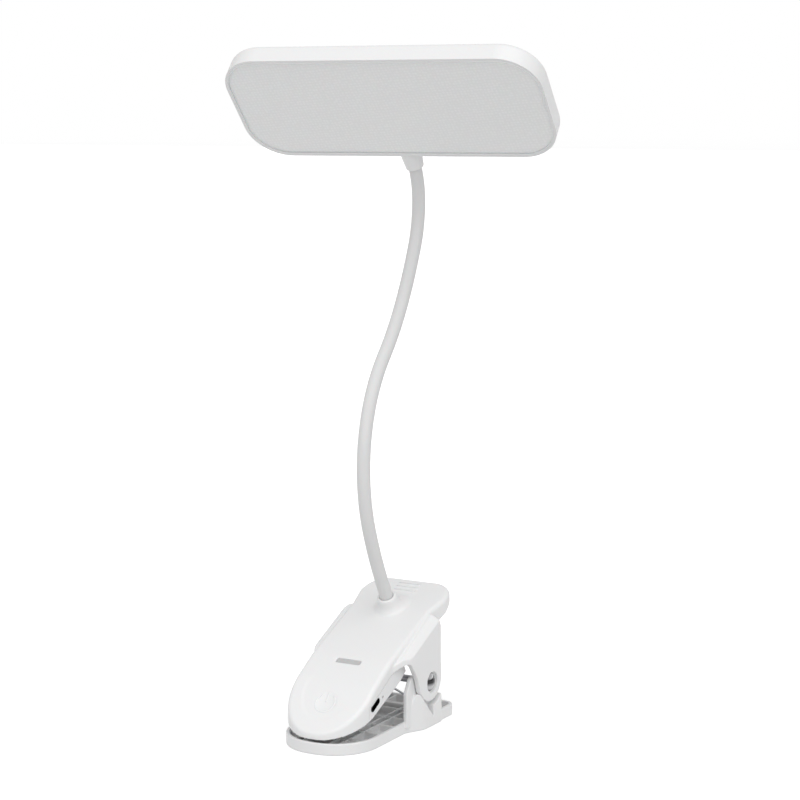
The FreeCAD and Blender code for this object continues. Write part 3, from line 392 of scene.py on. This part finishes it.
def neck_line():
    """The neck's centre line: eight arcs, each tangent to the last, as (place, direction) lists."""
    places = {joint["name"]: Vector(joint["pos_m"]) for joint in frame["joints"]}
    stops = [NECK_START] + [places[name] for name in NECK_JOINTS] + [NECK_END]
    lean = NECK_LEAN
    arcs = []
    for start, end in zip(stops, stops[1:]):
        chord = end - start
        middle = math.atan2(chord.y, chord.z)
        turn = 2 * (middle - lean)
        length = chord.length * (turn / 2) / math.sin(turn / 2)
        count = max(2, round(length / RING_STEP))
        arc = []
        for step in range(count + 1):
            part = step / count
            across = chord.length * math.sin(turn * part / 2) / math.sin(turn / 2)
            heading = lean + turn * part / 2
            place = start + Vector((0, math.sin(heading), math.cos(heading))) * across
            tangent = lean + turn * part
            arc.append((place, Vector((0, math.sin(tangent), math.cos(tangent)))))
        arcs.append(arc)
        lean += turn
    place, along = arcs[0][0]
    arcs[0].insert(0, (place - along * NECK_ROOT, along))
    place, along = arcs[-1][-1]
    arcs[-1].append((place + along * NECK_TIP, along))
    return arcs


def tube(stations, radius):
    """A closed round tube through a list of (place, direction) stations."""
    builder = bmesh.new()
    side = Vector((1, 0, 0))
    rings = []
    for place, along in stations:
        up = along.cross(side).normalized()
        ring = []
        for index in range(NECK_SIDES):
            angle = 2 * math.pi * index / NECK_SIDES
            spoke = side * math.cos(angle) + up * math.sin(angle)
            ring.append(builder.verts.new(place + spoke * radius))
        rings.append(ring)
    for low, high in zip(rings, rings[1:]):
        for index in range(NECK_SIDES):
            after = (index + 1) % NECK_SIDES
            builder.faces.new((low[index], low[after], high[after], high[index]))
    for ring in (rings[0], rings[-1]):
        cap = builder.faces.new(ring)
        for edge in cap.edges:
            edge.smooth = False
    return mesh_of(builder)


def build_neck():
    """The neck's skin: each length crosses one joint, and the lengths meet without a gap."""
    arcs = neck_line()
    last = len(NECK_JOINTS) - 1
    for index, joint in enumerate(NECK_JOINTS):
        low = arcs[index]
        high = arcs[index + 1]
        first = 0 if index == 0 else len(low) // 2
        final = len(high) if index == last else len(high) // 2 + 1
        stations = low[first:] + high[1:final]
        mesh = tube(stations, NECK_RADIUS)
        stands_for = [f"neck_sleeve_{index + 1}"]
        if index == last:
            stands_for.append(f"neck_sleeve_{index + 2}")
        piece = mesh_piece(f"neck_skin_{index + 1}", mesh, None, "silicone", *stands_for)
        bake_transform(piece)


# ---------------------------------------------------------------- clip


DISH_PLACE = Vector((-1.0, -30.0)) * MM
DISH_RADIUS = 16 * MM
DISH_DEPTH = 0.22 * MM
DISH_LIP = 2.4 * MM
DISH_FORWARD = Vector((-0.45, -0.9))
DISH_FADE_START = -0.5 * DISH_RADIUS
DISH_FADE_END = 0.6 * DISH_RADIUS
FACES_UP = 0.5
MARK_PLACE = Vector((-0.5, -36.5)) * MM
MARK_RADIUS = 5.4 * MM
MARK_STROKE = 0.55 * MM
MARK_RAISE = 0.22 * MM
MARK_GAP = math.radians(38)
MARK_FLATTEN = 0.78
MARK_RING_STEPS = 48
MARK_BAR_STEPS = 12
RIDGE_PLACE = 46.7 * MM
RIDGE_PITCH = 3.15 * MM
RIDGE_HALF = 6.5 * MM
RIDGE_STROKE = 0.4 * MM
STROKE_SIDES = 8
STROKE_SINK = 0.15 * MM


def step_between(value, low, high):
    """0 below low, 1 above high and a smooth rise between them."""
    part = min(1.0, max(0.0, (value - low) / (high - low)))
    return part * part * (3 - 2 * part)


def press_thumb_dish(mesh):
    """A shallow thumb rest in the jaw's top, deepest towards the nose and the left."""
    normals = [vertex.normal.copy() for vertex in mesh.vertices]
    places = [vertex.co.copy() for vertex in mesh.vertices]
    for index, (place, normal) in enumerate(zip(places, normals)):
        away = Vector((place.x, place.y)) - DISH_PLACE
        if normal.z < FACES_UP or away.length > DISH_RADIUS:
            continue
        inside = 1 - step_between(away.length, DISH_RADIUS - DISH_LIP, DISH_RADIUS)
        lean = step_between(away.dot(DISH_FORWARD), DISH_FADE_START, DISH_FADE_END)
        places[index] = place - normal * DISH_DEPTH * inside * lean
    for vertex, place in zip(mesh.vertices, places):
        vertex.co = place


def stroke_on(surface, path, half_wide, raise_by):
    """A low rounded ridge that follows a path of (x, y) places over a surface."""
    builder = bmesh.new()
    rows = []
    places = []
    for spot in path:
        hit, normal, _, _ = surface.ray_cast(Vector((spot.x, spot.y, 1)), Vector((0, 0, -1)))
        places.append((hit, normal))
    for index, (hit, normal) in enumerate(places):
        before = places[max(index - 1, 0)][0]
        after = places[min(index + 1, len(places) - 1)][0]
        along = (after - before).normalized()
        across = normal.cross(along).normalized()
        ends = min(index, len(places) - 1 - index)
        width = half_wide * min(1.0, 0.55 + 0.25 * ends)
        row = []
        for step in range(STROKE_SIDES + 1):
            angle = math.pi * step / STROKE_SIDES
            lift = math.sin(angle) * raise_by - STROKE_SINK * (step in (0, STROKE_SIDES))
            row.append(builder.verts.new(hit + across * math.cos(angle) * width + normal * lift))
        rows.append(row)
    for low, high in zip(rows, rows[1:]):
        for step in range(STROKE_SIDES):
            builder.faces.new((low[step], high[step], high[step + 1], low[step + 1]))
        builder.faces.new((low[STROKE_SIDES], high[STROKE_SIDES], high[0], low[0]))
    for row in (rows[0], rows[-1]):
        builder.faces.new(row)
    return mesh_of(builder)


def joined(meshes):
    """Several meshes as one."""
    builder = bmesh.new()
    for mesh in meshes:
        builder.from_mesh(mesh)
    return mesh_of(builder)


def build_power_mark(surface):
    """The raised power symbol: a ring open at the top and a short bar."""
    ring = []
    for index in range(MARK_RING_STEPS + 1):
        angle = math.pi / 2 + MARK_GAP + (2 * math.pi - 2 * MARK_GAP) * index / MARK_RING_STEPS
        spoke = Vector((math.cos(angle), math.sin(angle) * MARK_FLATTEN))
        ring.append(MARK_PLACE + spoke * MARK_RADIUS)
    bar = []
    for index in range(MARK_BAR_STEPS + 1):
        height = 0.15 + 0.75 * index / MARK_BAR_STEPS
        bar.append(MARK_PLACE + Vector((0, MARK_RADIUS * height)))
    strokes = [stroke_on(surface, path, MARK_STROKE, MARK_RAISE) for path in (ring, bar)]
    mesh_piece("power_mark", joined(strokes), "upper_jaw", "white_plastic")


def build_tail_ridges(surface):
    """Three thin grip lines across the press tail."""
    strokes = []
    for index in range(3):
        place = RIDGE_PLACE + RIDGE_PITCH * index
        path = [Vector((RIDGE_HALF * (step / 10 - 1), place)) for step in range(21)]
        strokes.append(stroke_on(surface, path, RIDGE_STROKE, RIDGE_STROKE))
    mesh_piece("tail_ridges", joined(strokes), "upper_jaw", "white_plastic")


def build_clip_skins():
    """The three big mouldings with every corner slightly rounded."""
    shell = softened("upper_shell", 0.4 * MM, 8)
    press_thumb_dish(shell)
    mesh_piece("upper_shell_skin", shell, "upper_jaw", "white_plastic", "upper_shell")
    surface = BVHTree.FromPolygons(
        [vertex.co for vertex in shell.vertices],
        [face.vertices[:] for face in shell.polygons],
    )
    build_power_mark(surface)
    build_tail_ridges(surface)
    cover = softened("upper_cover", 0.3 * MM, 2)
    mesh_piece("upper_cover_skin", cover, "upper_jaw", "cover_plastic", "upper_cover")
    tray = softened("lower_jaw", 0.35 * MM, 3)
    mesh_piece("lower_jaw_skin", tray, "lower_jaw", "tray_plastic", "lower_jaw")


def build_wound_spring():
    """The torsion spring: a copy of its CAD node's mesh that stands in for it."""
    mesh = NODES["torsion_spring"].data.copy()
    piece = mesh_piece("torsion_spring_wound", mesh, None, "steel", "torsion_spring")
    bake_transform(piece)


# ---------------------------------------------------------------- head


DIFFUSER_SWELL = 0.2 * MM


def build_diffuser_skin():
    """The diffuser stretched a hair in its own plane, so that it sits snugly in its rim."""
    mesh = NODES["head_diffuser"].data.copy()
    across, down, _ = head_axes()
    for axis in (across, down):
        reach = [vertex.co.dot(axis) for vertex in mesh.vertices]
        middle = (max(reach) + min(reach)) / 2
        half = (max(reach) - min(reach)) / 2
        for vertex, place in zip(mesh.vertices, reach):
            vertex.co += axis * (place - middle) / half * DIFFUSER_SWELL
    for face in mesh.polygons:
        face.use_smooth = False
    mesh_piece("head_diffuser_sheet", mesh, "head", "diffuser", "head_diffuser")


RIM_RADIUS = 0.35 * MM
RIM_SIDES = 10
RIM_OUTSET = 1.004
FRONT_DEPTH = 0.05 * MM


def build_rim_bead():
    """The fine rounded bead on the head's rim, just outside the diffuser's edge."""
    across, down, out = head_axes()
    corners = [vertex.co.copy() for vertex in NODES["head_diffuser"].data.vertices]
    front = max(corner.dot(out) for corner in corners)
    rise = max(vertex.co.dot(out) for vertex in NODES["head_back_shell"].data.vertices) - front
    edge = [corner for corner in corners if front - corner.dot(out) < FRONT_DEPTH]
    middle = sum(edge, Vector()) / len(edge)
    reach = {}
    for corner in edge:
        away = corner - middle
        turn = round(math.atan2(away.dot(down), away.dot(across)), 2)
        if turn not in reach or reach[turn].length < away.length:
            reach[turn] = away
    loop = [middle + reach[turn] * RIM_OUTSET + out * rise for turn in sorted(reach)]
    builder = bmesh.new()
    rings = []
    for index, place in enumerate(loop):
        along = (loop[(index + 1) % len(loop)] - loop[index - 1]).normalized()
        side = along.cross(out).normalized()
        ring = []
        for step in range(RIM_SIDES):
            angle = 2 * math.pi * step / RIM_SIDES
            spoke = side * math.cos(angle) + out * math.sin(angle)
            ring.append(builder.verts.new(place + spoke * RIM_RADIUS))
        rings.append(ring)
    for index, low in enumerate(rings):
        high = rings[(index + 1) % len(rings)]
        for step in range(RIM_SIDES):
            after = (step + 1) % RIM_SIDES
            builder.faces.new((low[step], low[after], high[after], high[step]))
    mesh_piece("head_rim_bead", mesh_of(builder), "head", "white_plastic")


# ---------------------------------------------------------------- studio


SKY_BELOW = 0.8
SKY_ABOVE = 0.5
SKY_STEPS = ((0.46, SKY_BELOW), (0.495, 1.0), (0.57, 1.0), (0.66, SKY_ABOVE))
SUN_FROM = Vector((0.30, -0.42, 0.86))
SUN_STRENGTH = 2.0
SUN_SPREAD = math.radians(75)
CARD_PLACE = Vector((0.8, 1.4, 0.02))
CARD_HALF_WIDTH = 1.1
CARD_HALF_HEIGHT = 0.16
FLOOR_SIZE = 40
FLOOR_GAP = 0.2 * MM
CAMERA_PLACE = (0.550885, -0.936741, 0.322172)
CAMERA_LENS = 94.37
CAMERA_SENSOR = 36
CAMERA_HEADING = math.radians(29.38)
CAMERA_DIP = math.radians(7.62)


def build_sky():
    """White at the horizon, and dimmer overhead and below, so that shapes keep their shading."""
    world = bpy.data.worlds.new("studio")
    world.use_nodes = True
    tree = world.node_tree
    place = tree.nodes.new("ShaderNodeTexCoord")
    split = tree.nodes.new("ShaderNodeSeparateXYZ")
    ramp = tree.nodes.new("ShaderNodeValToRGB")
    raised = tree.nodes.new("ShaderNodeMapRange")
    raised.inputs["From Min"].default_value = -1
    tree.links.new(place.outputs["Generated"], split.inputs["Vector"])
    tree.links.new(split.outputs["Z"], raised.inputs["Value"])
    tree.links.new(raised.outputs["Result"], ramp.inputs["Fac"])
    tree.links.new(ramp.outputs["Color"], tree.nodes["Background"].inputs["Color"])
    steps = ramp.color_ramp
    steps.elements[0].position = 0.0
    steps.elements[0].color = (SKY_BELOW,) * 3 + (1,)
    steps.elements[1].position = 1.0
    steps.elements[1].color = (SKY_ABOVE,) * 3 + (1,)
    for position, level in SKY_STEPS:
        step = steps.elements.new(position)
        step.color = (level, level, level, 1)
    bpy.context.scene.world = world
    bpy.context.scene.view_settings.view_transform = "Standard"


def build_dark_card():
    """A dark strip off to the side that only mirrors see, so that chrome has something to reflect."""
    builder = bmesh.new()
    wide = Vector((-CARD_PLACE.y, CARD_PLACE.x, 0)).normalized() * CARD_HALF_WIDTH
    high = Vector((0, 0, CARD_HALF_HEIGHT))
    corners = [CARD_PLACE + wide * sideways + high * upwards
               for sideways, upwards in ((-1, -1), (1, -1), (1, 1), (-1, 1))]
    builder.faces.new([builder.verts.new(corner) for corner in corners])
    card = bpy.data.objects.new("dark_card", mesh_of(builder))
    card.data.materials.append(MATERIALS["grip_rubber"])
    card.visible_camera = False
    card.visible_diffuse = False
    card.visible_shadow = False
    bpy.context.scene.collection.objects.link(card)


def build_studio():
    """Floor, sky, one broad soft light and the camera."""
    bottom = cad_box[0][2]
    bpy.ops.mesh.primitive_plane_add(size=FLOOR_SIZE, location=(0, 0, bottom - FLOOR_GAP))
    floor = bpy.context.object
    floor.name = "studio_floor"
    floor.data.materials.append(studio_floor("studio_floor"))
    floor.visible_diffuse = False
    build_sky()
    build_dark_card()

    sun = bpy.data.lights.new("sun", "SUN")
    sun.energy = SUN_STRENGTH
    sun.angle = SUN_SPREAD
    holder = bpy.data.objects.new("sun", sun)
    holder.rotation_euler = SUN_FROM.to_track_quat("Z", "Y").to_euler()
    bpy.context.scene.collection.objects.link(holder)

    camera_data = bpy.data.cameras.new("camera")
    camera_data.lens = CAMERA_LENS
    camera_data.sensor_width = CAMERA_SENSOR
    camera = bpy.data.objects.new("camera", camera_data)
    camera.location = CAMERA_PLACE
    aim = Vector((
        -math.sin(CAMERA_HEADING) * math.cos(CAMERA_DIP),
        math.cos(CAMERA_HEADING) * math.cos(CAMERA_DIP),
        -math.sin(CAMERA_DIP),
    ))
    camera.rotation_euler = aim.to_track_quat("-Z", "Y").to_euler()
    bpy.context.scene.collection.objects.link(camera)
    bpy.context.scene.camera = camera


dress_nodes()
build_neck()
build_clip_skins()
build_wound_spring()
build_diffuser_skin()
build_rim_bead()
build_studio()
